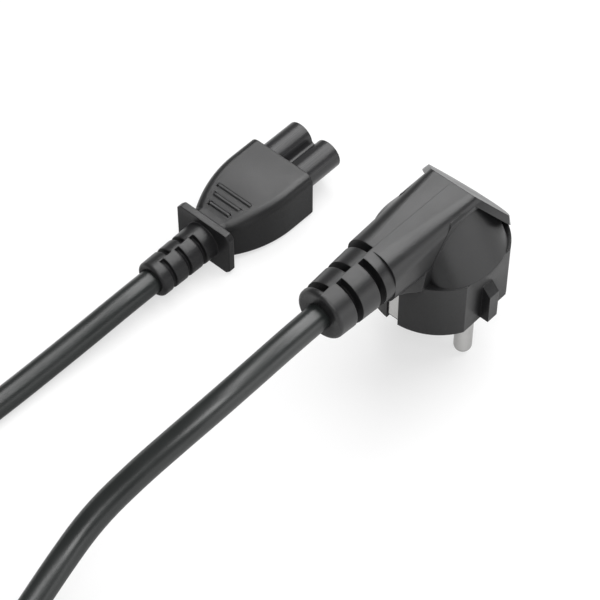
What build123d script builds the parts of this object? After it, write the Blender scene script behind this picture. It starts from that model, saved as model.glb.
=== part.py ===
from build123d import *
import os
from math import cos, degrees, pi, radians, sin, sqrt, tan

os.makedirs("parts", exist_ok=True)

# Cord: a round three-core mains lead
cord_diameter = 6.8
core_diameter = 2.2
core_bend = 2.4
core_side = 1.45
core_high = 0.8
core_low = 1.6

# Plug pins, as the socket takes them
pin_diameter = 4.8
pin_length = 19.0
pin_spacing = 19.0
pin_shank_diameter = 4.2
pin_collar_diameter = 6.4
pin_collar_height = 1.5
pin_tail_diameter = 3.8
pin_tail_length = 4.5

# Plug insertion body
body_diameter = 34.9
body_across_flats = 30.8
body_depth = 17.0
guide_width = 3.5
guide_across = 35.6
guide_outer_height = 9.0
guide_inner_height = 11.5

# Plug insert that carries the pins
insert_thickness = 6.0
insert_side = 0.9
insert_front = 6.0
insert_back_wall = 1.1
insert_corner = 3.0

# Earth strip and earth socket of the plug
strip_width = 3.2
strip_thickness = 0.8
strip_sunk = 0.5
strip_start = 1.5
strip_height = 15.8
strip_bend = 1.6
strip_clearance = 0.15
strip_groove_height = 15.0
earth_offset = 10.0
earth_bore_diameter = 4.9
earth_sleeve_diameter = 6.2
earth_mouth_depth = 2.0
earth_lead_in = 0.5

# Plug head: a round hood with a spine over it
head_diameter = 35.3
head_draft = 9.0
head_blend = 8.0
hood_neck_width = 13.0
spine_width = 16.0
spine_height = 33.8
spine_corner = 1.2
spine_depth = 15.6
spine_end = 15.0
far_edge = 3.4
back_slope = 50.0
flank_height = 32.6
flank_radius = 60.0
flank_end_half = 7.4
hood_start = 24.5
hood_foot = 13.5
hood_foot_height = 23.0
hood_full = 5.2
hood_under_rise = 3.4

# Finger scoop on each side of the plug head: a swell in front of a rim
scoop_half = 8.0
swell_ahead = -0.4
swell_height = 18.0
swell_radius = 12.8
swell_fall = 58.0
rim_thickness = 1.9

# Plug arm and strain relief
cord_height = 26.6
arm_root = 26.5
arm_diameter = 15.8
arm_round = 6.2
relief_end = 44.6
relief_tail_diameter = 13.8
relief_end_round = 1.0
relief_core_diameter = 9.8
relief_slot_first = 26.6
relief_slot_step = 3.85
relief_slot_width = 2.0
relief_slot_count = 5
relief_bridge = 0.5
sheath_end = 20.0

# Cores inside the plug and the connector
plug_core_straight = 7.0
plug_core_ahead = 6.5
plug_core_side = 6.5
plug_core_height = 19.5
plug_core_over = 5.0
earth_core_ahead = 5.0
boot_core_straight = 5.0

# Connector body, with its flat underside on the floor
connector_width = 22.2
connector_height = 14.8
connector_straight = 8.0
connector_rear_width = 12.4
connector_rear_rise = 1.5
connector_rear_drop = 1.5
connector_taper_length = 27.0
connector_neck_length = 1.6
connector_top_round = 2.6
connector_low_round = 1.4
connector_axis_height = 7.2

# Connector flange, grip ridges and strain relief
flange_width = 18.6
flange_height = 14.2
flange_thickness = 2.1
flange_corner = 1.3
ridge_first = 18.5
ridge_step = 2.9
ridge_width = 0.9
ridge_height = 0.35
ridge_lengths = (11.8, 9.2, 7.2)
boot_length = 19.3
boot_diameter = 10.8
boot_tail_diameter = 10.2
boot_end_round = 1.0
boot_core_diameter = 8.2
boot_slot_first = 4.6
boot_slot_step = 2.7
boot_slot_width = 1.3
boot_slot_count = 5
boot_bridge = 0.3
boot_sheath_end = 22.0

# Connector nose: three lobes, one for each contact
nose_length = 12.8
lobe_diameter = 8.4
root_lobe_diameter = 7.2
lobe_spacing = 10.0
lobe_drop = 5.0
nose_height = 9.4
nose_notch_round = 0.9
nose_root = 7.0

# Connector contacts
contact_diameter = 3.5
contact_bore_diameter = 2.4
contact_bore_depth = 10.4
contact_mouth_depth = 1.4
contact_lead_in = 0.4

# Layout of the two ends on the floor
connector_ahead = 8.6
connector_aside = 60.6

# Route of the cord between each end and the coil
route_straight = 11.0
route_lead = 12.0
bend_share = 0.45
plug_route = [
    (-56.1, -26.3, 44.0),
    (-66.0, -24.7, 40.8),
    (-75.2, -22.2, 36.2),
    (-86.0, -18.4, 29.0),
    (-97.3, -15.6, 22.0),
    (-108.0, -15.4, 15.8),
]
connector_route = [
    (-52.5, 34.5, 5.6),
    (-64.0, 35.3, 4.3),
    (-77.0, 35.8, 3.6),
    (-91.5, 36.2, 3.6),
    (-108.0, 37.9, 4.0),
]

# Coil of the spare cord, and its tie
coil_x = -173.0
coil_y = 12.0
coil_mean_diameter = 70.0
coil_columns = 3
coil_layers = 2
coil_corner = 3.2
coil_lead = 26.0
coil_lead_angle = 75.0
tie_thickness = 1.0
tie_width = 12.0
tie_angle = 180.0

# Values that follow from the sizes above
cord_radius = cord_diameter / 2
core_radius = core_diameter / 2
face_height = pin_length
step_height = face_height + body_depth
spine_top = face_height + spine_height
relief_axis_height = face_height + cord_height
strip_top = face_height + strip_start + strip_height - strip_thickness
strip_inner = body_diameter / 2 - strip_sunk - strip_thickness
pin_tail_top = face_height + insert_thickness + pin_collar_height + pin_tail_length
insert_width = pin_spacing + pin_collar_diameter + 2 * insert_side
insert_back = earth_offset + earth_sleeve_diameter / 2 + insert_back_wall
connector_length = connector_taper_length + connector_neck_length
plug_x = (relief_end - connector_ahead - nose_length) / 2
plug_y = (guide_across - connector_width) / 4 - connector_aside / 2
connector_x = plug_x + connector_ahead
connector_y = plug_y + connector_aside
earth_height = nose_height - lobe_drop
lobe_places = [(-lobe_spacing / 2, nose_height), (lobe_spacing / 2, nose_height), (0, earth_height)]
flange_back = connector_length + flange_thickness
boot_end = flange_back + boot_length
contact_end = nose_length - contact_mouth_depth
contact_back = -nose_root
layer_pitch = cord_diameter
coil_width = coil_columns * cord_diameter
coil_height = coil_layers * cord_diameter
lead_ring = (coil_mean_diameter + coil_width - cord_diameter) / 2


def plug_level(height):
    """Level plane on the plug's axis."""
    return Plane((plug_x, plug_y, height))


def plug_section(ahead):
    """Upright plane across the plug, looking along its arm."""
    return Plane((plug_x + ahead, plug_y, 0), x_dir=(0, 1, 0), z_dir=(1, 0, 0))


def connector_section(ahead):
    """Upright plane across the connector, ahead of its front face."""
    return Plane((connector_x + ahead, connector_y, 0), x_dir=(0, 1, 0), z_dir=(1, 0, 0))


def plug_point(x, y, z):
    """Point given from the plug's axis and the floor."""
    return Vector(plug_x + x, plug_y + y, z)


def connector_point(x, y, z):
    """Point given from the middle of the connector's front edge on the floor."""
    return Vector(connector_x + x, connector_y + y, z)


plug_side = Plane((plug_x, plug_y, 0), x_dir=(1, 0, 0), z_dir=(0, -1, 0))
connector_side = Plane((connector_x, connector_y, 0), x_dir=(1, 0, 0), z_dir=(0, -1, 0))
relief_axis = Axis((plug_x, plug_y, relief_axis_height), (1, 0, 0))
boot_axis = Axis((connector_x, connector_y, connector_axis_height), (1, 0, 0))
plug_exit = plug_point(-relief_end, 0, relief_axis_height)
plug_sheath = plug_point(-sheath_end, 0, relief_axis_height)
boot_exit = connector_point(-boot_end, 0, connector_axis_height)
boot_sheath = connector_point(-boot_sheath_end, 0, connector_axis_height)


def pin(side):
    """Round contact pin: a domed tip, a shank and collar that grip the insert, and a tail for its core."""
    pin_y = plug_y + side * pin_spacing / 2
    with BuildPart() as turned:
        with BuildSketch(Plane((plug_x, pin_y, 0), x_dir=(1, 0, 0), z_dir=(0, -1, 0))):
            with BuildLine():
                tip = RadiusArc((0, 0), (pin_diameter / 2, pin_diameter / 2), -pin_diameter / 2)
                Polyline(
                    tip @ 1,
                    (pin_diameter / 2, face_height),
                    (pin_shank_diameter / 2, face_height),
                    (pin_shank_diameter / 2, face_height + insert_thickness),
                    (pin_collar_diameter / 2, face_height + insert_thickness),
                    (pin_collar_diameter / 2, face_height + insert_thickness + pin_collar_height),
                    (pin_tail_diameter / 2, face_height + insert_thickness + pin_collar_height),
                    (pin_tail_diameter / 2, pin_tail_top),
                    (0, pin_tail_top),
                    (0, 0),
                )
            make_face()
        revolve(axis=Axis((plug_x, pin_y, 0), (0, 0, 1)))
    return turned


def core(points):
    """Insulated core that runs through the points with rounded bends."""
    with BuildPart() as wire:
        with BuildLine():
            route = FilletPolyline(*points, radius=core_bend)
        with BuildSketch(Plane(route @ 0, z_dir=route % 0)):
            Circle(core_radius)
        sweep()
    return wire


def bend_radii(points):
    """Largest smooth bend at each inner point: near half of the shorter run beside it."""
    radii = []
    for before, corner, after in zip(points, points[1:], points[2:]):
        arriving = corner - before
        leaving = after - corner
        half_turn = radians(arriving.get_angle(leaving)) / 2
        radii.append(bend_share * min(arriving.length, leaving.length) / tan(half_turn))
    return radii


def cord_route(exit_point, inner, lead_point, lead_way):
    """Corner points of a cord that leaves straight back and meets the coil's lead in line."""
    first = exit_point - Vector(route_straight, 0, 0)
    last = lead_point + lead_way * route_lead
    return [exit_point, first] + [Vector(*corner) for corner in inner] + [last, lead_point]


def lead_of_coil(side, height):
    """Point and outward way of the coil's straight lead on one side."""
    angle = radians(side * coil_lead_angle)
    way = Vector(sin(angle) * side, -cos(angle) * side, 0)
    tangent = Vector(coil_x + lead_ring * cos(angle), coil_y + lead_ring * sin(angle), height)
    return tangent, way


line_pin = pin(-1)
neutral_pin = pin(1)

# Insert of the plug: a flat bridge with holes for the pins and the earth socket
with BuildPart() as plug_insert:
    with BuildSketch(plug_level(face_height)):
        with Locations(((insert_back - insert_front) / 2, 0)):
            RectangleRounded(insert_front + insert_back, insert_width, insert_corner)
        with GridLocations(0, pin_spacing, 1, 2):
            Circle(pin_shank_diameter / 2, mode=Mode.SUBTRACT)
        with Locations((earth_offset, 0)):
            Circle(earth_sleeve_diameter / 2, mode=Mode.SUBTRACT)
    extrude(amount=insert_thickness)
    face_edges = plug_insert.edges().group_by(Axis.Z)[0]
    rims = face_edges.filter_by(lambda edge: edge.is_closed)
    chamfer(rims.sort_by(Axis.X)[-1], earth_lead_in)

# Earth strip of the plug: one bent strap with a contact face on each side
with BuildPart() as earth_strip:
    with BuildSketch(plug_side):
        with BuildLine():
            half = strip_inner + strip_thickness
            low = face_height + strip_start
            high = strip_top + strip_thickness
            FilletPolyline((-half, low), (-half, high), (half, high), (half, low), radius=strip_bend)
            offset(amount=-strip_thickness, side=Side.RIGHT)
        make_face()
    extrude(amount=strip_width / 2, both=True)

# Earth socket of the plug: a sleeve under the strip
with BuildPart() as earth_socket:
    with BuildSketch(plug_level(face_height + earth_mouth_depth)):
        with Locations((earth_offset, 0)):
            Circle(earth_sleeve_diameter / 2)
            Circle(earth_bore_diameter / 2, mode=Mode.SUBTRACT)
    extrude(amount=strip_top - face_height - earth_mouth_depth)

# Cores of the plug, from the end of the sheath to the pins and the strip
plug_core_level = relief_axis_height + core_high


def pin_core(side):
    """Core that dips under the finger scoop to its pin."""
    return core([
        plug_point(-sheath_end, side * core_side, plug_core_level),
        plug_point(plug_core_straight - sheath_end, side * core_side, plug_core_level),
        plug_point(-plug_core_ahead, side * plug_core_side, face_height + plug_core_height),
        plug_point(0, side * pin_spacing / 2, pin_tail_top + plug_core_over),
        plug_point(0, side * pin_spacing / 2, pin_tail_top),
    ])


plug_line_core = pin_core(-1)
plug_neutral_core = pin_core(1)
plug_earth_core = core([
    plug_point(-sheath_end, 0, relief_axis_height - core_low),
    plug_point(-earth_core_ahead, 0, relief_axis_height - core_low),
    plug_point(-earth_core_ahead, 0, strip_top + strip_thickness),
])


def scoop(side):
    """Cutter for a finger scoop: the room beside the spine, less a swell that falls outward."""
    rim_top = far_edge - rim_thickness / sin(radians(back_slope))
    rim_foot = rim_top + (spine_top - step_height) / tan(radians(back_slope))
    with BuildPart() as recess:
        with BuildSketch(plug_side.offset(-side * scoop_half)):
            with BuildLine():
                Polyline(
                    (-head_diameter, step_height),
                    (-head_diameter, spine_top),
                    (rim_top, spine_top),
                    (rim_foot, step_height),
                    close=True,
                )
            make_face()
        extrude(amount=-side * head_diameter)
        with BuildSketch(plug_side.offset(-side * scoop_half)):
            with Locations((swell_ahead, face_height + swell_height)):
                Circle(swell_radius)
        out_way = (0, side * cos(radians(swell_fall)), -sin(radians(swell_fall)))
        extrude(amount=head_diameter, dir=out_way, mode=Mode.SUBTRACT)
    return recess


# Overmould of the plug, outer shape first
with BuildPart() as plug_overmould:
    # Round hood, blended in plan into the arm
    with BuildSketch(plug_level(step_height)) as plan:
        Circle(head_diameter / 2)
        with Locations((-hood_start / 2, 0)):
            Rectangle(hood_start, hood_neck_width)
        fillet(plan.vertices().sort_by(Axis.X)[2:4], head_blend)
    extrude(amount=spine_height - body_depth, taper=head_draft)
    with BuildSketch(plug_section(0)) as arch:
        with BuildLine():
            base = Line((-head_diameter / 2, step_height), (head_diameter / 2, step_height))
            right = RadiusArc(base @ 1, (flank_end_half, face_height + flank_height), -flank_radius)
            ridge = Line(right @ 1, (-flank_end_half, face_height + flank_height))
            RadiusArc(ridge @ 1, base @ 0, -flank_radius)
        make_face()
    extrude(amount=head_diameter * 2, both=True, mode=Mode.INTERSECT)
    with BuildSketch(plug_side) as front:
        with BuildLine():
            Polyline(
                (-hood_start, step_height + hood_under_rise),
                (-hood_start, face_height + hood_foot_height),
                (-hood_foot, face_height + hood_foot_height),
                (-hood_full, spine_top),
                (head_diameter, spine_top),
                (head_diameter, step_height),
                (-head_diameter / 2, step_height),
                close=True,
            )
        make_face()
    extrude(amount=head_diameter, both=True, mode=Mode.INTERSECT)
    # Spine from the round arm to the squarer far edge
    with BuildSketch(Plane(plug_point(-arm_root, 0, relief_axis_height), x_dir=(0, 1, 0), z_dir=(1, 0, 0))):
        RectangleRounded(arm_diameter, arm_diameter, arm_round)
    with BuildSketch(plug_section(spine_end)):
        with Locations((0, spine_top - spine_depth / 2)):
            RectangleRounded(spine_width, spine_depth, spine_corner)
    loft()
    back_way = (sin(radians(back_slope)), 0, cos(radians(back_slope)))
    split(bisect_by=Plane(plug_point(far_edge, 0, spine_top), z_dir=back_way), keep=Keep.BOTTOM)
    # Finger scoops
    for side in (-1, 1):
        add(scoop(side).part, mode=Mode.SUBTRACT)
    # Insertion body with two flats
    with BuildSketch(plug_level(face_height)):
        Circle(body_diameter / 2)
        Rectangle(body_diameter, body_across_flats, mode=Mode.INTERSECT)
    extrude(amount=body_depth)
    # Guide block on each flat, with a slanted top
    with BuildSketch(plug_section(0)):
        with BuildLine():
            Polyline(
                (-guide_across / 2, face_height),
                (-guide_across / 2, face_height + guide_outer_height),
                (-body_across_flats / 2, face_height + guide_inner_height),
                (body_across_flats / 2, face_height + guide_inner_height),
                (guide_across / 2, face_height + guide_outer_height),
                (guide_across / 2, face_height),
                close=True,
            )
        make_face()
    extrude(amount=guide_width / 2, both=True)
    # Tapered strain relief
    with BuildSketch(plug_side) as taper:
        with BuildLine():
            Polyline(
                (-arm_root, relief_axis_height),
                (-arm_root, relief_axis_height + arm_diameter / 2),
                (-relief_end, relief_axis_height + relief_tail_diameter / 2),
                (-relief_end, relief_axis_height),
                close=True,
            )
        make_face()
        fillet(taper.vertices().group_by(Axis.X)[0].sort_by(Axis.Y)[-1], relief_end_round)
    revolve(axis=relief_axis)
    # Slots of the strain relief, on the far side and the near side by turns
    for step in range(relief_slot_count):
        side = 1 - 2 * (step % 2)
        place = plug_point(-relief_slot_first - step * relief_slot_step, 0, relief_axis_height)
        with BuildSketch(Plane(place, x_dir=(0, 1, 0), z_dir=(1, 0, 0))):
            with Locations((side * (arm_diameter + relief_bridge) / 2, 0)):
                Rectangle(arm_diameter, arm_diameter * 2)
            Circle(relief_core_diameter / 2, mode=Mode.SUBTRACT)
        extrude(amount=relief_slot_width / 2, both=True, mode=Mode.SUBTRACT)
    # Grooves for the earth strip
    with BuildSketch(plug_level(face_height)):
        for side in (-1, 1):
            with Locations((side * (strip_inner + body_diameter / 4), 0)):
                Rectangle(body_diameter / 2, strip_width + 2 * strip_clearance)
    extrude(amount=strip_groove_height, mode=Mode.SUBTRACT)
    # Room for the pieces inside and for the cord's sheath
    for inner in (line_pin, neutral_pin, earth_strip, earth_socket):
        add(inner.part, mode=Mode.SUBTRACT)
    for inner in (plug_line_core, plug_neutral_core, plug_earth_core):
        add(inner.part, mode=Mode.SUBTRACT)
    with BuildSketch(plug_level(face_height)):
        with Locations(((insert_back - insert_front) / 2, 0)):
            RectangleRounded(insert_front + insert_back, insert_width, insert_corner)
    extrude(amount=insert_thickness, mode=Mode.SUBTRACT)
    with BuildSketch(plug_level(face_height)):
        with Locations((earth_offset, 0)):
            Circle(earth_bore_diameter / 2)
    extrude(amount=strip_top - face_height, mode=Mode.SUBTRACT)
    with BuildSketch(Plane(plug_sheath, x_dir=(0, 1, 0), z_dir=(-1, 0, 0))):
        Circle(cord_radius)
    extrude(amount=relief_end, mode=Mode.SUBTRACT)


def clover(place, lobe, length):
    """Prism of three lobes round the contacts, with rounded notches between them."""
    with BuildPart() as prism:
        with BuildSketch(connector_section(place)):
            with Locations(*lobe_places):
                Circle(lobe / 2)
            with BuildLine():
                Polyline(*lobe_places, close=True)
            make_face()
            offset(amount=nose_notch_round)
            offset(amount=-nose_notch_round)
        extrude(amount=length)
    return prism


# Insert of the connector: a cloverleaf nose that is rooted in the overmould
with BuildPart() as connector_insert:
    add(clover(0, lobe_diameter, nose_length).part)
    add(clover(-nose_root, root_lobe_diameter, nose_root).part)
    with BuildSketch(connector_section(nose_length)):
        with Locations(*lobe_places):
            Circle(contact_diameter / 2)
    extrude(amount=-nose_length - nose_root, mode=Mode.SUBTRACT)
    front_edges = connector_insert.edges().group_by(Axis.X)[-1]
    chamfer(front_edges.filter_by(lambda edge: edge.is_closed), contact_lead_in)


def contact(side, height):
    """Female contact: a sleeve with a solid tail for its core."""
    with BuildPart() as sleeve:
        with BuildSketch(connector_section(contact_end)):
            with Locations((side * lobe_spacing / 2, height)):
                Circle(contact_diameter / 2)
        extrude(amount=contact_back - contact_end)
        with BuildSketch(connector_section(contact_end)):
            with Locations((side * lobe_spacing / 2, height)):
                Circle(contact_bore_diameter / 2)
        extrude(amount=-contact_bore_depth, mode=Mode.SUBTRACT)
    return sleeve


line_contact = contact(-1, nose_height)
neutral_contact = contact(1, nose_height)
earth_contact = contact(0, earth_height)


def contact_core(side, height, end_side, end_height):
    """Core from a contact's tail to the end of the sheath."""
    return core([
        connector_point(contact_back, side * lobe_spacing / 2, height),
        connector_point(contact_back - boot_core_straight, side * lobe_spacing / 2, height),
        connector_point(boot_core_straight - boot_sheath_end, end_side, end_height),
        connector_point(-boot_sheath_end, end_side, end_height),
    ])


connector_line_core = contact_core(-1, nose_height, -core_side, connector_axis_height + core_high)
connector_neutral_core = contact_core(1, nose_height, core_side, connector_axis_height + core_high)
connector_earth_core = contact_core(0, earth_height, 0, connector_axis_height - core_low)


def ridge_level(place, fall):
    """Height of a grip ridge over the cord's axis, from the arc of the body's top."""
    run = connector_taper_length - connector_straight
    arc_radius = (run**2 + fall**2) / (2 * fall)
    sunk = arc_radius - sqrt(arc_radius**2 - (place + connector_straight) ** 2)
    return connector_height - sunk + ridge_height - connector_axis_height


# Overmould of the connector
with BuildPart() as connector_overmould:
    # Waisted body: plan outline met by the side outline
    with BuildSketch(Plane((connector_x, connector_y, 0))):
        with BuildLine():
            nose_edge = Line((0, 0), (0, connector_width / 2))
            flank = Line(nose_edge @ 1, (-connector_straight, connector_width / 2))
            rear_half = connector_rear_width / 2
            waist = TangentArc(flank @ 1, (-connector_taper_length, rear_half), tangent=flank % 1)
            neck = Line(waist @ 1, (-connector_length, rear_half))
            Line(neck @ 1, (-connector_length, 0))
            mirror(about=Plane.XZ)
        make_face()
    extrude(amount=connector_height)
    with BuildSketch(connector_side):
        with BuildLine():
            front_edge = Line((0, 0), (0, connector_height))
            top = Line(front_edge @ 1, (-connector_straight, connector_height))
            rear_top = connector_height - connector_rear_drop
            fall = TangentArc(top @ 1, (-connector_taper_length, rear_top), tangent=top % 1)
            Polyline(
                fall @ 1,
                (-connector_length, rear_top),
                (-connector_length, connector_rear_rise),
                (-connector_taper_length, connector_rear_rise),
            )
            sole = Line(front_edge @ 0, (-connector_straight, 0))
            TangentArc(sole @ 1, (-connector_taper_length, connector_rear_rise), tangent=sole % 1)
        make_face()
    extrude(amount=connector_width, both=True, mode=Mode.INTERSECT)
    long_edges = connector_overmould.edges().filter_by(lambda edge: abs(edge.tangent_at(0.5).X) > 0.5)
    fillet(long_edges.filter_by(lambda edge: edge.center().Z > connector_height / 2), connector_top_round)
    long_edges = connector_overmould.edges().filter_by(lambda edge: abs(edge.tangent_at(0.5).X) > 0.5)
    fillet(long_edges.filter_by(lambda edge: edge.center().Z < connector_low_round), connector_low_round)
    # Grip ridges on the top
    for step, length in enumerate(ridge_lengths):
        place = -ridge_first - step * ridge_step
        with BuildSketch(Plane(connector_point(place, 0, connector_axis_height))):
            SlotOverall(length, ridge_width, rotation=90)
        extrude(amount=ridge_level(place, connector_rear_drop), dir=(0, 0, 1))
    # Flange
    with BuildSketch(connector_section(-connector_length)) as plate:
        with Locations((0, flange_height / 2)):
            Rectangle(flange_width, flange_height)
        chamfer(plate.vertices(), flange_corner)
    extrude(amount=-flange_thickness)
    # Strain relief with slots on the near side and the far side by turns
    with BuildSketch(connector_side) as sleeve_half:
        with BuildLine():
            Polyline(
                (-flange_back, connector_axis_height),
                (-flange_back, connector_axis_height + boot_diameter / 2),
                (-boot_end, connector_axis_height + boot_tail_diameter / 2),
                (-boot_end, connector_axis_height),
                close=True,
            )
        make_face()
        fillet(sleeve_half.vertices().group_by(Axis.X)[0].sort_by(Axis.Y)[-1], boot_end_round)
    revolve(axis=boot_axis)
    for step in range(boot_slot_count):
        side = 2 * (step % 2) - 1
        slot_x = -flange_back - boot_slot_first - step * boot_slot_step
        place = connector_point(slot_x, 0, connector_axis_height)
        with BuildSketch(Plane(place, x_dir=(0, 1, 0), z_dir=(1, 0, 0))):
            with Locations((side * (boot_diameter + boot_bridge) / 2, 0)):
                Rectangle(boot_diameter, boot_diameter * 2)
            Circle(boot_core_diameter / 2, mode=Mode.SUBTRACT)
        extrude(amount=boot_slot_width / 2, both=True, mode=Mode.SUBTRACT)
    # Room for the pieces inside and for the cord's sheath
    for inner in (connector_insert, line_contact, neutral_contact, earth_contact):
        add(inner.part, mode=Mode.SUBTRACT)
    for inner in (connector_line_core, connector_neutral_core, connector_earth_core):
        add(inner.part, mode=Mode.SUBTRACT)
    with BuildSketch(Plane(boot_sheath, x_dir=(0, 1, 0), z_dir=(-1, 0, 0))):
        Circle(cord_radius)
    extrude(amount=boot_end, mode=Mode.SUBTRACT)

# Coil of the spare cord: the outer shape of its turns, with a straight lead at each end
entry_height = tie_thickness + cord_radius
leave_height = entry_height + layer_pitch
coil_level = tie_thickness + coil_height / 2
entry_tangent, entry_way = lead_of_coil(1, entry_height)
leave_tangent, leave_way = lead_of_coil(-1, leave_height)
coil_axis = Axis((coil_x, coil_y, 0), (0, 0, 1))
with BuildPart() as cord_coil:
    with BuildSketch(Plane((coil_x, coil_y, coil_level), x_dir=(1, 0, 0), z_dir=(0, -1, 0))):
        with Locations((coil_mean_diameter / 2, 0)):
            RectangleRounded(coil_width, coil_height, coil_corner)
    revolve(axis=coil_axis)
    for tangent, way in ((entry_tangent, entry_way), (leave_tangent, leave_way)):
        with BuildSketch(Plane(tangent, z_dir=way)):
            Circle(cord_radius)
        extrude(amount=coil_lead)

# Tie round the coil
tie_arc = tie_width / (coil_mean_diameter / 2)
with BuildPart() as coil_tie:
    tie_start = radians(tie_angle) - tie_arc / 2
    tie_along = (cos(tie_start), sin(tie_start), 0)
    tie_across = (sin(tie_start), -cos(tie_start), 0)
    with BuildSketch(Plane((coil_x, coil_y, coil_level), x_dir=tie_along, z_dir=tie_across)):
        with Locations((coil_mean_diameter / 2, 0)):
            tie_wide = coil_width + 2 * tie_thickness
            tie_high = coil_height + 2 * tie_thickness
            RectangleRounded(tie_wide, tie_high, coil_corner + tie_thickness)
            RectangleRounded(coil_width, coil_height, coil_corner, mode=Mode.SUBTRACT)
    revolve(axis=coil_axis, revolution_arc=degrees(tie_arc))


def cord_end(points, sheath_point):
    """Cord from the coil's lead to an end, and on into its overmould."""
    radii = bend_radii(points)
    print("bend radii:", [round(radius, 1) for radius in radii])
    with BuildPart() as tube:
        with BuildLine():
            route = FilletPolyline(*points, radius=radii)
        with BuildSketch(Plane(route @ 0, z_dir=route % 0)):
            Circle(cord_radius)
        sweep()
        with BuildSketch(Plane(sheath_point, x_dir=(0, 1, 0), z_dir=(-1, 0, 0))):
            Circle(cord_radius)
        extrude(amount=sheath_point.X - points[0].X)
    section = pi * cord_radius**2
    print("route length:", round(route.length, 1), "stub:", round(sheath_point.X - points[0].X, 1))
    print("tube volume over section:", round(tube.part.volume / section, 1))
    return tube


cord_plug_end = cord_end(
    cord_route(plug_exit, plug_route, leave_tangent + leave_way * coil_lead, leave_way),
    plug_sheath,
)
cord_connector_end = cord_end(
    cord_route(boot_exit, connector_route, entry_tangent + entry_way * coil_lead, entry_way),
    boot_sheath,
)

pieces = {
    "plug_overmould": plug_overmould,
    "plug_insert": plug_insert,
    "line_pin": line_pin,
    "neutral_pin": neutral_pin,
    "earth_strip": earth_strip,
    "earth_socket": earth_socket,
    "plug_line_core": plug_line_core,
    "plug_neutral_core": plug_neutral_core,
    "plug_earth_core": plug_earth_core,
    "connector_overmould": connector_overmould,
    "connector_insert": connector_insert,
    "line_contact": line_contact,
    "neutral_contact": neutral_contact,
    "earth_contact": earth_contact,
    "connector_line_core": connector_line_core,
    "connector_neutral_core": connector_neutral_core,
    "connector_earth_core": connector_earth_core,
    "cord_plug_end": cord_plug_end,
    "cord_connector_end": cord_connector_end,
    "cord_coil": cord_coil,
    "coil_tie": coil_tie,
}
for label, piece in pieces.items():
    piece.part.label = label
    export_step(piece.part, f"parts/{label}.step")
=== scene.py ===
import math

import bmesh
import bpy
import numpy as np
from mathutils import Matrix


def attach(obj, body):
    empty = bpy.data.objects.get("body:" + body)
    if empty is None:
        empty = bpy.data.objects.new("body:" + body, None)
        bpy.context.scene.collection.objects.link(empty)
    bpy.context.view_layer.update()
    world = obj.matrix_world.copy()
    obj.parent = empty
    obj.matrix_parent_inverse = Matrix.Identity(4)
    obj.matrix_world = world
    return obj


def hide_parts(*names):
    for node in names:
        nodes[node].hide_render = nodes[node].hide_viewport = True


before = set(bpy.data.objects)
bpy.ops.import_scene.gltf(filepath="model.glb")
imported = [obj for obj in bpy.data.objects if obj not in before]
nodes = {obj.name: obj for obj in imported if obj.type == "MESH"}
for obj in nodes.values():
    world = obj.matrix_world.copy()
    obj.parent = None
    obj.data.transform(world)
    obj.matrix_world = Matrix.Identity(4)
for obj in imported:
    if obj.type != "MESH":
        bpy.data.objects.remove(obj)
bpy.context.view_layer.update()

scene = bpy.context.scene
scene.view_settings.view_transform = "Standard"

# Route of the cord at each end, as in the part's source, and its way on inside, in millimetres
PLUG_EXIT = (-33.0, -26.95, 45.6)
PLUG_ROUTE = [
    (-44.0, -26.95, 45.6),
    (-56.1, -26.3, 44.0),
    (-66.0, -24.7, 40.8),
    (-75.2, -22.2, 36.2),
    (-86.0, -18.4, 29.0),
    (-97.3, -15.6, 22.0),
    (-108.0, -15.4, 15.8),
]
BOOT_EXIT = (-29.8, 33.65, 7.2)
CONNECTOR_ROUTE = [
    (-40.8, 33.65, 7.2),
    (-52.5, 34.5, 5.6),
    (-64.0, 35.3, 4.3),
    (-77.0, 35.8, 3.6),
    (-91.5, 36.2, 3.6),
    (-108.0, 37.9, 4.0),
]
CORD_INSIDE = np.array([9.0, 0.0, 0.0])

# Sizes repeated from the part's source, in metres and degrees
MM = 0.001
CORD_RADIUS = 3.4 * MM
PLUG_AXIS = np.array([11.6, -26.95]) * MM
BODY_RADIUS = 17.45 * MM
COIL = np.array([-173.0, 12.0]) * MM
COIL_MEAN = 35.0 * MM
COIL_OUTER = 41.8 * MM
COIL_PITCH = 6.8 * MM
COIL_LOW = 4.4 * MM
COIL_HALF_WIDTH = 10.2 * MM
COIL_HALF_HEIGHT = 6.8 * MM
COIL_LEVEL = 7.8 * MM
COIL_CORNER = 3.2 * MM
LEAD_ANGLE = 75.0
LEAD_LENGTH = 26.0 * MM
LEAD_CORNER = 38.0 * MM
TIE_WIDTH = 12.0 * MM

# Coil of the scene's cord: its sweep in degrees, and its steps in turns
FULL_TURN = 360.0
COIL_SWEEP = 6 * FULL_TURN - 2 * LEAD_ANGLE
COIL_POINTS = 135
STEP_TURNS = np.array([1.1, 2.1, 3.0, 3.9, 4.9])
STEP_WIDTH = 0.4
STEP_INWARD = np.array([1.0, 1.0, 0.0, -1.0, -1.0])
STEP_DOWN = 2

# Strap of the scene: how far out each corner lies, in thicknesses, and the shape of its profile
TIE_THICKNESS = 0.9 * MM
TIE_LIFT = np.array([0.0, 0.0, 0.0, 0.55, 1.08])
TIE_TAIL = -2.5 * MM
WIDTH_POWER = 0.35
THICKNESS_POWER = 0.5

# Fineness of the scene's meshes
CORD_ROUND_STEPS = 8
CORD_SPAN_STEPS = 5
CORNER_POINTS = 9
PROFILE_POINTS = 28
CUT_POINTS = 240

# Levels between which the plug's face is cut, and the distance within which corners are one
CUT_LEVELS = np.array([18.0, 26.0]) * MM
WELD = 0.001 * MM


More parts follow.
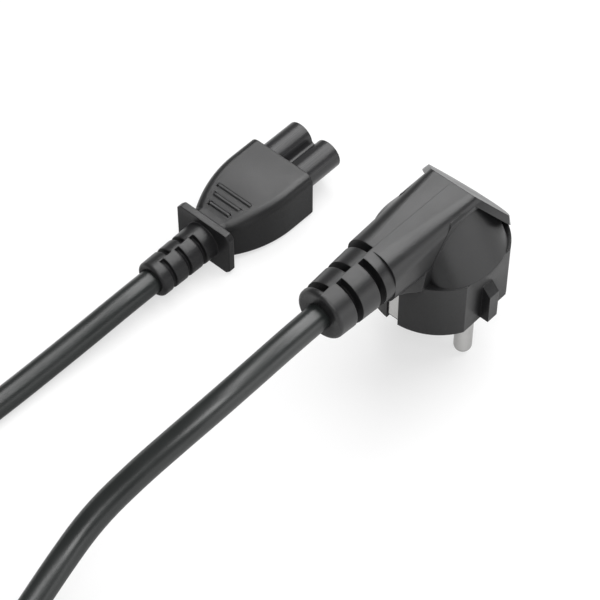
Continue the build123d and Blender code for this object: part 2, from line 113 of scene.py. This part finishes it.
# Cord: one open spline from the plug to the connector, coil and all
def coil_points():
    """Turns of the coil, clockwise from above. The angle falls evenly from -75 to -2085 degrees.
    Each step from one turn to the next is a half cosine over two fifths of a turn. Two steps lead
    inwards on the upper layer, one down to the lower layer, and two outwards. They follow each
    other a little early, so that a cord has left its place before the next one comes into it.
    The radius is enlarged by what the spline pulls inwards between its points."""
    turn = COIL_SWEEP / (COIL_POINTS - 1)
    angle = -LEAD_ANGLE - turn * np.arange(COIL_POINTS)
    part = np.clip((-angle[:, None] / FULL_TURN - STEP_TURNS) / STEP_WIDTH + 0.5, 0.0, 1.0)
    step = 0.5 - 0.5 * np.cos(np.pi * part)
    spline_pull = 0.75 + 0.25 * math.cos(math.radians(turn))
    radius = (COIL_OUTER - COIL_PITCH * (step @ STEP_INWARD)) / spline_pull
    height = COIL_LOW + COIL_PITCH * (1.0 - step[:, STEP_DOWN])
    theta = np.radians(angle)
    flat = COIL + radius[:, None] * np.stack([np.cos(theta), np.sin(theta)], axis=1)
    return np.c_[flat, height]


def lead_points(side, height):
    """Points of the coil's straight lead, from its outer corner inwards: the point where it
    touches the coil, plus a reach along the tangent."""
    theta = math.radians(side * LEAD_ANGLE)
    tangent = COIL + COIL_OUTER * np.array([math.cos(theta), math.sin(theta)])
    way = side * np.array([math.sin(theta), -math.cos(theta)])
    reach = np.array([LEAD_CORNER, LEAD_LENGTH, LEAD_LENGTH / 2])
    return np.c_[tangent + reach[:, None] * way, np.full(3, height)]


def cord_points():
    """Route of the plug's side, the coil, then the route of the connector's side backwards."""
    first = np.vstack([PLUG_EXIT + CORD_INSIDE, PLUG_EXIT, PLUG_ROUTE]) * MM
    last = np.vstack([BOOT_EXIT + CORD_INSIDE, BOOT_EXIT, CONNECTOR_ROUTE])[::-1] * MM
    upper = lead_points(-1, COIL_LOW + COIL_PITCH)
    lower = lead_points(1, COIL_LOW)[::-1]
    return np.concatenate([first, upper, coil_points(), lower, last])


def make_cord():
    """Round tube along the spline: the bevel is 1, so each point's radius is the cord's."""
    data = bpy.data.curves.new("cord", "CURVE")
    data.dimensions = "3D"
    data.bevel_depth = 1.0
    data.bevel_resolution = CORD_ROUND_STEPS
    data.use_fill_caps = True
    points = cord_points()
    spline = data.splines.new("NURBS")
    spline.points.add(len(points) - 1)
    spline.points.foreach_set("co", np.c_[points, np.ones(len(points))].astype(np.float32).ravel())
    spline.points.foreach_set("radius", np.full(len(points), CORD_RADIUS, np.float32))
    spline.order_u = 3
    spline.use_endpoint_u = True
    spline.resolution_u = CORD_SPAN_STEPS
    data.resolution_u = CORD_SPAN_STEPS
    data.render_resolution_u = CORD_SPAN_STEPS
    return bpy.data.objects.new("cord", data)


# Tie: a strap wrapped once round the coil, with its tail lapped over its start
def strap_path():
    """Loop in the coil's cross-section. Each corner is a quarter circle about its own centre, and
    straight runs join the corners. The last run and corner lie one thickness further out."""
    out = TIE_THICKNESS / 2
    quarter = np.radians(np.linspace(0.0, 90.0, CORNER_POINTS))
    start = np.radians([90.0, 180.0, 270.0, 0.0, 90.0])
    sign = np.array([[-1, 1], [-1, -1], [1, -1], [1, 1], [-1, 1]], float)
    lift = TIE_LIFT * TIE_THICKNESS
    phi = start[:, None] + quarter[None, :]
    normal = np.stack([np.cos(phi), np.sin(phi)], axis=2)
    centre = sign * (np.array([COIL_HALF_WIDTH, COIL_HALF_HEIGHT]) - COIL_CORNER)
    ring = centre[:, None, :] + normal * (COIL_CORNER + out + lift[:, None, None])
    bends = ring.reshape(-1, 2)
    path = np.vstack([[0.0, COIL_HALF_HEIGHT + out], bends, [bends[-1, 0], TIE_TAIL]])
    facing = np.vstack([[0.0, 1.0], normal.reshape(-1, 2), [-1.0, 0.0]])
    return path, facing


def strap_surface():
    """Flat oval profile, a half-width times a power of cosine and a half-thickness times a power of
    sine, carried along the strap's path and wrapped round the coil's axis as an arc."""
    path, facing = strap_path()
    turn = np.linspace(0.0, 2 * np.pi, PROFILE_POINTS, endpoint=False)
    cosine, sine = np.cos(turn), np.sin(turn)
    across = TIE_WIDTH / 2 * np.sign(cosine) * np.abs(cosine) ** WIDTH_POWER
    thick = TIE_THICKNESS / 2 * np.sign(sine) * np.abs(sine) ** THICKNESS_POWER
    place = path[:, None, :] + facing[:, None, :] * thick[None, :, None]
    angle = math.pi + across / COIL_MEAN
    radius = COIL_MEAN - place[:, :, 0]
    x = COIL[0] + radius * np.cos(angle)[None, :]
    y = COIL[1] + radius * np.sin(angle)[None, :]
    z = COIL_LEVEL + place[:, :, 1]
    run = np.r_[0.0, np.cumsum(np.linalg.norm(np.diff(path, axis=0), axis=1))]
    return np.stack([x, y, z], axis=2), run, across


def tube_faces(rows, columns):
    """Quads of a grid that closes on itself across, plus one face at each end."""
    row, column = np.meshgrid(np.arange(rows - 1), np.arange(columns), indexing="ij")
    after = (column + 1) % columns
    quads = np.stack([row * columns + column, row * columns + after,
                      (row + 1) * columns + after, (row + 1) * columns + column], axis=2)
    first = np.arange(columns)[::-1]
    last = (rows - 1) * columns + np.arange(columns)
    return quads.reshape(-1, 4).tolist() + [first.tolist(), last.tolist()]


def make_strap():
    """Mesh of the strap's surface, with its run and its width as the weave's own coordinates."""
    grid, run, across = strap_surface()
    rows, columns = grid.shape[:2]
    mesh = bpy.data.meshes.new("tie_strap")
    mesh.from_pydata(grid.reshape(-1, 3).tolist(), [], tube_faces(rows, columns))
    corner = np.zeros(len(mesh.loops), np.int32)
    mesh.loops.foreach_get("vertex_index", corner)
    along = np.repeat(run, columns)[corner]
    side = np.tile(across, rows)[corner]
    layer = mesh.uv_layers.new(name="weave")
    layer.data.foreach_set("uv", np.c_[along, side].astype(np.float32).ravel())
    mesh.polygons.foreach_set("use_smooth", np.ones(len(mesh.polygons), bool))
    mesh.update()
    return bpy.data.objects.new("tie_strap", mesh)


# Face of the plug: the insert, with its rear corners flush with the round insertion body
def body_cylinder():
    """Upright cylinder about the plug's axis: a circle of the insertion body's radius at two
    levels, closed at both ends."""
    turn = np.linspace(0.0, 2 * np.pi, CUT_POINTS, endpoint=False)
    ring = PLUG_AXIS + BODY_RADIUS * np.stack([np.cos(turn), np.sin(turn)], axis=1)
    grid = np.c_[np.tile(ring, (len(CUT_LEVELS), 1)), np.repeat(CUT_LEVELS, CUT_POINTS)]
    mesh = bpy.data.meshes.new("body_cylinder")
    mesh.from_pydata(grid.tolist(), [], tube_faces(len(CUT_LEVELS), CUT_POINTS))
    return bpy.data.objects.new("body_cylinder", mesh)


def make_face():
    """What the insert's solid and the body's cylinder have in common."""
    mesh = nodes["plug_insert"].data.copy()
    whole = bmesh.new()
    whole.from_mesh(mesh)
    bmesh.ops.remove_doubles(whole, verts=whole.verts, dist=WELD)
    whole.to_mesh(mesh)
    whole.free()
    face = bpy.data.objects.new("plug_face", mesh)
    cutter = body_cylinder()
    for piece in (face, cutter):
        bpy.context.collection.objects.link(piece)
    trim = face.modifiers.new("trim", "BOOLEAN")
    trim.operation = "INTERSECT"
    trim.solver = "EXACT"
    trim.object = cutter
    trimmed = face.evaluated_get(bpy.context.evaluated_depsgraph_get())
    shape = bpy.data.meshes.new_from_object(trimmed)
    face.modifiers.clear()
    face.data = shape
    bpy.data.objects.remove(cutter)
    shape.polygons.foreach_set("use_smooth", np.zeros(len(shape.polygons), bool))
    shape.polygons.foreach_set("material_index", np.zeros(len(shape.polygons), np.int32))
    shape.materials.clear()
    return face


# Painted shade: gloss dimmed in slots and close over the floor, where shade falls; its reach, the
# open shares it fades between, and what is left
OPEN_REACH = 80.0 * MM
OPEN_LIMITS = (0.50, 0.95)
PAINTED_SHADE_GLOSS = 0.1


# Materials
class Finish:
    """Short way to lay out a node material: add a node, link sockets, set values."""

    def __init__(self, name):
        self.material = bpy.data.materials.new(name)
        self.material.use_nodes = True
        self.tree = self.material.node_tree
        self.shader = self.tree.nodes["Principled BSDF"]

    def add(self, kind, **settings):
        node = self.tree.nodes.new(kind)
        for key, value in settings.items():
            setattr(node, key, value)
        return node

    def link(self, source, target):
        self.tree.links.new(source, target)

    def place(self, stretch=(1.0, 1.0, 1.0)):
        """The piece's own coordinates, scaled along each axis."""
        coordinates = self.add("ShaderNodeTexCoord")
        mapping = self.add("ShaderNodeMapping")
        mapping.inputs["Scale"].default_value = stretch
        self.link(coordinates.outputs["Object"], mapping.inputs["Vector"])
        return mapping.outputs["Vector"]

    def noise(self, vector, scale, detail=2.0):
        node = self.add("ShaderNodeTexNoise")
        node.inputs["Scale"].default_value = scale
        node.inputs["Detail"].default_value = detail
        self.link(vector, node.inputs["Vector"])
        return node.outputs["Fac"]

    def bands(self, vector, scale, direction):
        node = self.add("ShaderNodeTexWave", wave_type="BANDS", bands_direction=direction)
        node.inputs["Scale"].default_value = scale
        self.link(vector, node.inputs["Vector"])
        return node.outputs["Fac"]

    def spread(self, factor, low, high, start=0.3, end=0.7):
        """Value that goes from low to high while the factor goes from start to end."""
        node = self.add("ShaderNodeMapRange")
        node.inputs["From Min"].default_value = start
        node.inputs["From Max"].default_value = end
        node.inputs["To Min"].default_value = low
        node.inputs["To Max"].default_value = high
        self.link(factor, node.inputs["Value"])
        return node.outputs["Result"]

    def tint(self, factor, low, high):
        node = self.add("ShaderNodeMix", data_type="RGBA")
        node.inputs["A"].default_value = (*low, 1.0)
        node.inputs["B"].default_value = (*high, 1.0)
        self.link(factor, node.inputs["Factor"])
        return node.outputs["Result"]

    def bump(self, height, distance, strength=1.0, below=None):
        node = self.add("ShaderNodeBump")
        node.inputs["Strength"].default_value = strength
        node.inputs["Distance"].default_value = distance
        self.link(height, node.inputs["Height"])
        if below is not None:
            self.link(below, node.inputs["Normal"])
        return node.outputs["Normal"]

    def math(self, operation, first, second):
        node = self.add("ShaderNodeMath", operation=operation)
        for socket, value in zip(node.inputs, (first, second)):
            if isinstance(value, float):
                socket.default_value = value
            else:
                self.link(value, socket)
        return node.outputs["Value"]

    def painted_shade_gloss(self, low, high):
        """Gloss level that falls where hemmed in, as in slots and close over the floor: painted
        shade.
        """
        node = self.add("ShaderNodeAmbientOcclusion", samples=8)
        node.inputs["Distance"].default_value = OPEN_REACH
        return self.spread(node.outputs["AO"], low, high, *OPEN_LIMITS)

    def feed(self, socket, source):
        self.link(source, self.shader.inputs[socket])

    def set(self, socket, value):
        self.shader.inputs[socket].default_value = value


def moulded_black(name, low, high, roughness, grain, specular, edge=0.0):
    """Moulded plastic: cloudy tone, grain in the bump, patchy roughness, softened edges, and
    painted shade in slots and near the floor.
    """
    finish = Finish(name)
    place = finish.place()
    cloud = finish.noise(place, scale=90.0, detail=3.0)
    fine = finish.noise(place, scale=5200.0)
    finish.feed("Base Color", finish.tint(cloud, low, high))
    finish.feed("Roughness", finish.spread(cloud, roughness - 0.04, roughness + 0.05))
    below = None
    if edge:
        soft = finish.add("ShaderNodeBevel", samples=6)
        soft.inputs["Radius"].default_value = edge
        below = soft.outputs["Normal"]
    finish.feed("Normal", finish.bump(fine, grain, below=below))
    # Painted shade: gloss dimmed where hemmed in, in slots and close over the floor
    finish.feed("Specular IOR Level", finish.painted_shade_gloss(PAINTED_SHADE_GLOSS * specular, specular))
    return finish


OVERMOULD = {
    "low": (0.011, 0.011, 0.0115),
    "high": (0.015, 0.015, 0.0155),
    "roughness": 0.36,
    "grain": 0.02 * MM,
    "specular": 0.56,
    "edge": 0.35 * MM,
}
INSERT = {
    "low": (0.019, 0.019, 0.020),
    "high": (0.025, 0.025, 0.026),
    "roughness": 0.42,
    "grain": 0.02 * MM,
    "specular": 0.3,
}
SHEATH = {
    "low": (0.012, 0.014, 0.0135),
    "high": (0.016, 0.018, 0.0175),
    "roughness": 0.34,
    "grain": 0.012 * MM,
    "specular": 0.70,
}


def plug_finish():
    """The overmould's finish, with the hairline that the two halves of the mould leave."""
    finish = moulded_black("overmould_black_parted", **OVERMOULD)
    below = finish.shader.inputs["Normal"].links[0].from_socket
    coordinates = finish.add("ShaderNodeTexCoord")
    split = finish.add("ShaderNodeSeparateXYZ")
    finish.link(coordinates.outputs["Object"], split.inputs["Vector"])
    aside = finish.math("SUBTRACT", split.outputs["Y"], float(PLUG_AXIS[1]))
    aside = finish.math("ABSOLUTE", aside, 0.0)
    line = finish.spread(aside, 1.0, 0.0, start=0.04 * MM, end=0.16 * MM)
    finish.feed("Normal", finish.bump(line, 0.03 * MM, strength=0.6, below=below))
    return finish.material


def nose_finish():
    """Harder, shinier plastic, with the faint draw lines of the mould along the nose."""
    finish = Finish("nose_black")
    streak = finish.noise(finish.place(stretch=(0.02, 1.0, 1.0)), scale=2600.0)
    cloud = finish.noise(finish.place(), scale=140.0)
    finish.feed("Base Color", finish.tint(cloud, (0.018, 0.018, 0.019), (0.026, 0.026, 0.027)))
    finish.feed("Roughness", finish.spread(streak, 0.26, 0.36))
    finish.feed("Normal", finish.bump(streak, 0.01 * MM))
    finish.set("Specular IOR Level", 0.36)
    return finish.material


def metal_finish(name, low, high, roughness, stretch):
    """Plated or drawn metal: fine lines one way, a slight change of tone, and painted shade on
    edges seen at a grazing angle.
    """
    finish = Finish(name)
    lines = finish.noise(finish.place(stretch), scale=3200.0)
    cloud = finish.noise(finish.place(), scale=220.0)
    # Painted shade: the colour darkens where the surface turns away from the camera, towards its
    # grazing edges
    edge = finish.add("ShaderNodeLayerWeight")
    edge.inputs["Blend"].default_value = 0.5
    tone = finish.math("ADD", finish.math("MULTIPLY", cloud, 0.25), edge.outputs["Facing"])
    finish.feed("Base Color", finish.tint(tone, high, low))
    finish.feed("Roughness", finish.spread(lines, roughness - 0.05, roughness + 0.07))
    finish.feed("Normal", finish.bump(lines, 0.004 * MM))
    finish.set("Metallic", 1.0)
    return finish.material


def core_finish(name, low, high, stripe=None):
    """Smooth extruded insulation, uneven in tone, with stripes where the core has two colours."""
    finish = Finish(name)
    place = finish.place()
    cloud = finish.noise(place, scale=400.0)
    colour = finish.tint(cloud, low, high)
    if stripe:
        band = finish.add("ShaderNodeMix", data_type="RGBA")
        band.inputs["B"].default_value = (*stripe, 1.0)
        wave = finish.bands(place, 60.0, "Z")
        share = finish.spread(wave, 0.0, 1.0, start=0.45, end=0.55)
        finish.link(share, band.inputs["Factor"])
        finish.link(colour, band.inputs["A"])
        colour = band.outputs["Result"]
    finish.feed("Base Color", colour)
    finish.feed("Roughness", finish.spread(cloud, 0.38, 0.5))
    return finish.material


def strap_finish():
    """Woven strap: two sets of threads, one wave along and one across, over and under by turns."""
    finish = Finish("strap_weave")
    uv = finish.add("ShaderNodeUVMap", uv_map="weave").outputs["UV"]
    along, across = (finish.bands(uv, 420.0, direction) for direction in ("X", "Y"))
    thread = finish.math("MULTIPLY", along, across)
    finish.feed("Base Color", finish.tint(thread, (0.010, 0.010, 0.011), (0.030, 0.030, 0.032)))
    finish.feed("Roughness", finish.spread(thread, 0.75, 0.9))
    finish.feed("Normal", finish.bump(thread, 0.1 * MM))
    finish.set("Sheen Weight", 0.25)
    return finish.material


def paint(material, *names):
    """Gives the named nodes one material."""
    for name in names:
        for slot in nodes[name].material_slots:
            slot.material = material


# Softer edges on the connector's overmould, as the mould leaves them
def soften(name, width, angle=35.0):
    """Welds the node's loose triangles, joins those in one plane, and rounds the sharp edges."""
    piece = nodes[name]
    weld = piece.modifiers.new("weld", "WELD")
    weld.merge_threshold = WELD
    flat = piece.modifiers.new("flat", "DECIMATE")
    flat.decimate_type = "DISSOLVE"
    flat.angle_limit = math.radians(0.4)
    edge = piece.modifiers.new("edge", "BEVEL")
    edge.limit_method = "ANGLE"
    edge.angle_limit = math.radians(angle)
    edge.width = width
    edge.segments = 3
    edge.use_clamp_overlap = False
    edge.harden_normals = False
    even = piece.modifiers.new("even", "WEIGHTED_NORMAL")
    even.keep_sharp = False


# Pieces, and what each stands for
cord = make_cord()
strap = make_strap()
for piece in (cord, strap):
    bpy.context.collection.objects.link(piece)
face = make_face()
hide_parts("cord_plug_end", "cord_connector_end", "cord_coil")
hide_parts("coil_tie")
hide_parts("plug_insert")
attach(cord, "root")
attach(strap, "root")
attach(face, "root")

# Finish of each piece and node
cord.data.materials.append(moulded_black("sheath_black", **SHEATH).material)
strap.data.materials.append(strap_finish())
paint(moulded_black("overmould_black", **OVERMOULD).material, "connector_overmould")
paint(plug_finish(), "plug_overmould")
face.data.materials.append(moulded_black("insert_black", **INSERT).material)
paint(nose_finish(), "connector_insert")
nickel = metal_finish(
    "nickel_plate",
    low=(0.22, 0.217, 0.212),
    high=(0.74, 0.735, 0.725),
    roughness=0.2,
    stretch=(1.0, 1.0, 0.03),
)
paint(nickel, "line_pin", "neutral_pin", "earth_strip", "earth_socket")
brass = metal_finish(
    "contact_brass",
    low=(0.52, 0.38, 0.17),
    high=(0.80, 0.62, 0.31),
    roughness=0.3,
    stretch=(0.03, 1.0, 1.0),
)
paint(brass, "line_contact", "neutral_contact", "earth_contact")
brown = core_finish("core_brown", (0.14, 0.055, 0.025), (0.18, 0.075, 0.035))
paint(brown, "plug_line_core", "connector_line_core")
blue = core_finish("core_blue", (0.04, 0.14, 0.42), (0.06, 0.18, 0.48))
paint(blue, "plug_neutral_core", "connector_neutral_core")
yellow = (0.75, 0.62, 0.04)
green = core_finish("core_green", (0.22, 0.42, 0.05), (0.28, 0.48, 0.07), stripe=yellow)
paint(green, "plug_earth_core", "connector_earth_core")
soften("connector_overmould", width=0.25 * MM)

# Floor and light
FLOOR_HALF = 6.0
FLOOR_WHITE = 0.6
SKY = 0.16
MIDDLE = np.array([0.0, 0.0, 20.0]) * MM

# Camera as fitted to the photograph, in pixels, metres and degrees
HALF_FRAME = 300.0
FOCAL_LENGTH = 2301.0
CAMERA_PLACE = (-0.2876, -0.25195, 0.4599)
CAMERA_FALL = 50.253
CAMERA_TURN = -47.784


def make_floor():
    """Square of four corners on the level that the part lies on. The camera, gloss and glass see
    part of it as plain white, and the rest as a pale surface that takes the shadow."""
    corners = FLOOR_HALF * np.array([[-1, -1, 0], [1, -1, 0], [1, 1, 0], [-1, 1, 0]], float)
    mesh = bpy.data.meshes.new("floor")
    mesh.from_pydata(corners.tolist(), [], [[0, 1, 2, 3]])
    finish = Finish("floor_white")
    cloud = finish.noise(finish.place(), scale=3.0)
    finish.feed("Base Color", finish.tint(cloud, (0.88, 0.88, 0.88), (0.90, 0.90, 0.90)))
    finish.set("Roughness", 0.9)
    finish.set("Specular IOR Level", 0.1)
    rays = finish.add("ShaderNodeLightPath")
    seen = finish.math("ADD", rays.outputs["Is Camera Ray"], rays.outputs["Is Glossy Ray"])
    seen = finish.math("ADD", seen, rays.outputs["Is Transmission Ray"])
    share = finish.math("MULTIPLY", finish.math("MINIMUM", seen, 1.0), FLOOR_WHITE)
    white = finish.add("ShaderNodeEmission")
    mix = finish.add("ShaderNodeMixShader")
    finish.link(share, mix.inputs["Fac"])
    finish.link(finish.shader.outputs["BSDF"], mix.inputs[1])
    finish.link(white.outputs["Emission"], mix.inputs[2])
    finish.link(mix.outputs["Shader"], finish.tree.nodes["Material Output"].inputs["Surface"])
    mesh.materials.append(finish.material)
    return bpy.data.objects.new("floor", mesh)


def softbox(name, place, size, power):
    """Rectangle of light that faces the part, its first side level, with the power in watts."""
    data = bpy.data.lights.new(name, "AREA")
    data.shape = "RECTANGLE"
    data.size, data.size_y = size
    data.energy = power
    lamp = bpy.data.objects.new(name, data)
    way = MIDDLE - np.array(place)
    fall = math.atan2(way[2], math.hypot(way[0], way[1]))
    lamp.location = place
    lamp.rotation_euler = (math.pi / 2 + fall, 0.0, math.atan2(way[1], way[0]) - math.pi / 2)
    bpy.context.collection.objects.link(lamp)


floor = make_floor()
bpy.context.collection.objects.link(floor)

world = bpy.data.worlds.new("studio")
scene.world = world
world.use_nodes = True
sky = world.node_tree.nodes["Background"]
sky.inputs["Color"].default_value = (1.0, 1.0, 1.0, 1.0)
sky.inputs["Strength"].default_value = SKY

softbox("over", place=(0.70, 0.0, 1.20), size=(1.8, 0.6), power=19.0)
softbox("front", place=(-0.62, -0.56, 1.0), size=(0.6, 0.5), power=6.0)
softbox("right", place=(0.20, -1.20, 0.22), size=(1.5, 0.45), power=3.5)
softbox("crest", place=(-0.12, 0.05, 1.3), size=(1.0, 0.35), power=6.0)

camera_data = bpy.data.cameras.new("camera")
camera_data.sensor_fit = "HORIZONTAL"
camera_data.angle = 2 * math.atan(HALF_FRAME / FOCAL_LENGTH)
camera_data.clip_start = 0.01
camera = bpy.data.objects.new("camera", camera_data)
bpy.context.collection.objects.link(camera)
camera.location = CAMERA_PLACE
camera.rotation_euler = (math.radians(90.0 - CAMERA_FALL), 0.0, math.radians(CAMERA_TURN))
scene.camera = camera
